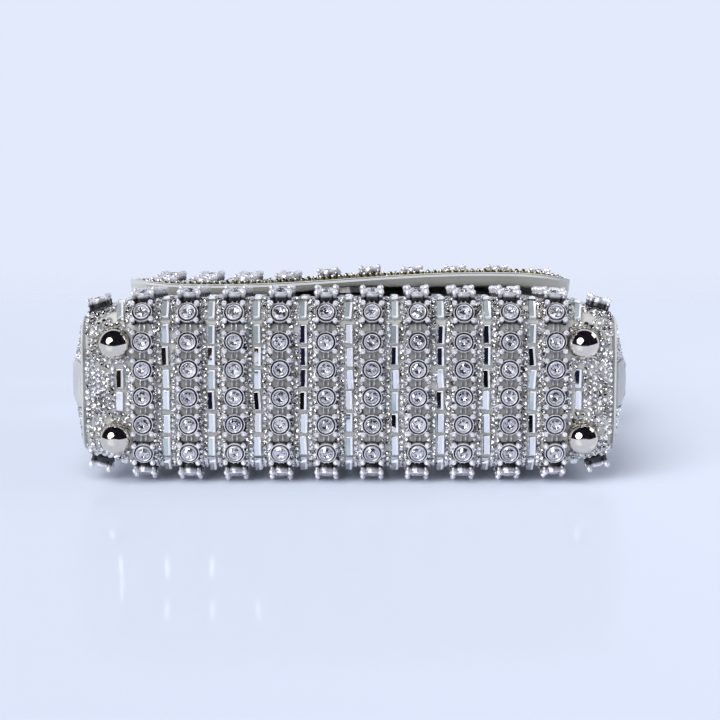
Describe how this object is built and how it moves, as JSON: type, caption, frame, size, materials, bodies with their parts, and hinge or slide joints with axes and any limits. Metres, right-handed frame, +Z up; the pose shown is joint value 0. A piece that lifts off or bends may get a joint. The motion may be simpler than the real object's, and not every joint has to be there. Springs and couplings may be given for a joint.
{
  "type": "handbag",
  "caption": "Structured flap handbag set all over with stones in claw settings, with dome feet, a magnetic snap and a swinging top handle.",
  "frame": {"origin": "on the plane that the feet stand on, under the middle of the bounding box", "axes": "+Z up out of the feet, -Y out of the front under the flap, +X to the right as seen from the front"},
  "size_m": [0.2462, 0.0818, 0.268],
  "materials": {
    "grey_leather": "satin",
    "lining_leather": "satin",
    "stiff_board": "matt",
    "polished_nickel": "polished",
    "stone_setting": "white-metal plated settings, each round a clear faceted stone",
    "brass_row": "polished"
  },
  "bodies": {
    "bag": {"base_panel": "grey_leather", "front_panel": "grey_leather", "back_panel": "grey_leather", "gusset_left": "grey_leather", "gusset_band_left": "grey_leather", "piping_left": "grey_leather", "handle_stud_left": "polished_nickel", "gusset_right": "grey_leather", "gusset_band_right": "grey_leather", "piping_right": "grey_leather", "handle_stud_right": "polished_nickel", "lining": "lining_leather", "front_board": "stiff_board", "back_board": "stiff_board", "base_board": "stiff_board", "cup_chain_1": "stone_setting", "cup_chain_2": "stone_setting", "cup_chain_3": "stone_setting", "cup_chain_4": "stone_setting", "cup_chain_5": "stone_setting", "cup_chain_6": "stone_setting", "cup_chain_7": "stone_setting", "cup_chain_8": "stone_setting", "cup_chain_9": "stone_setting", "cup_chain_10": "stone_setting", "corner_cup_left_front": "stone_setting", "corner_cup_left_back": "stone_setting", "corner_cup_right_front": "stone_setting", "corner_cup_right_back": "stone_setting", "foot_left_front": "polished_nickel", "foot_left_back": "polished_nickel", "foot_right_front": "polished_nickel", "foot_right_back": "polished_nickel", "foot_washer_left_front": "polished_nickel", "foot_washer_left_back": "polished_nickel", "foot_washer_right_front": "polished_nickel", "foot_washer_right_back": "polished_nickel", "front_magnet": "polished_nickel"},
    "flap": {"flap_leather": "grey_leather", "flap_lining": "lining_leather", "flap_edge_row": "brass_row", "flap_magnet": "polished_nickel", "flap_chain_1": "stone_setting", "flap_chain_2": "stone_setting", "flap_chain_3": "stone_setting", "flap_chain_4": "stone_setting", "flap_chain_5": "stone_setting", "flap_chain_6": "stone_setting", "flap_chain_7": "stone_setting", "flap_chain_8": "stone_setting", "flap_chain_9": "stone_setting", "flap_chain_10": "stone_setting"},
    "handle": {"handle_roll": "grey_leather", "handle_end_left": "polished_nickel", "handle_end_right": "polished_nickel"}
  },
  "joints": [
    {"name": "flap_hinge", "type": "hinge", "parent": "bag", "child": "flap", "pos_m": [0, 0.02393, 0.1575], "axis": [-1, 0, 0], "range_deg": [0, 100]},
    {"name": "handle_swing", "type": "hinge", "parent": "bag", "child": "handle", "pos_m": [0, 0.00293, 0.138], "axis": [1, 0, 0], "range_deg": [-80, 80]}
  ]
}
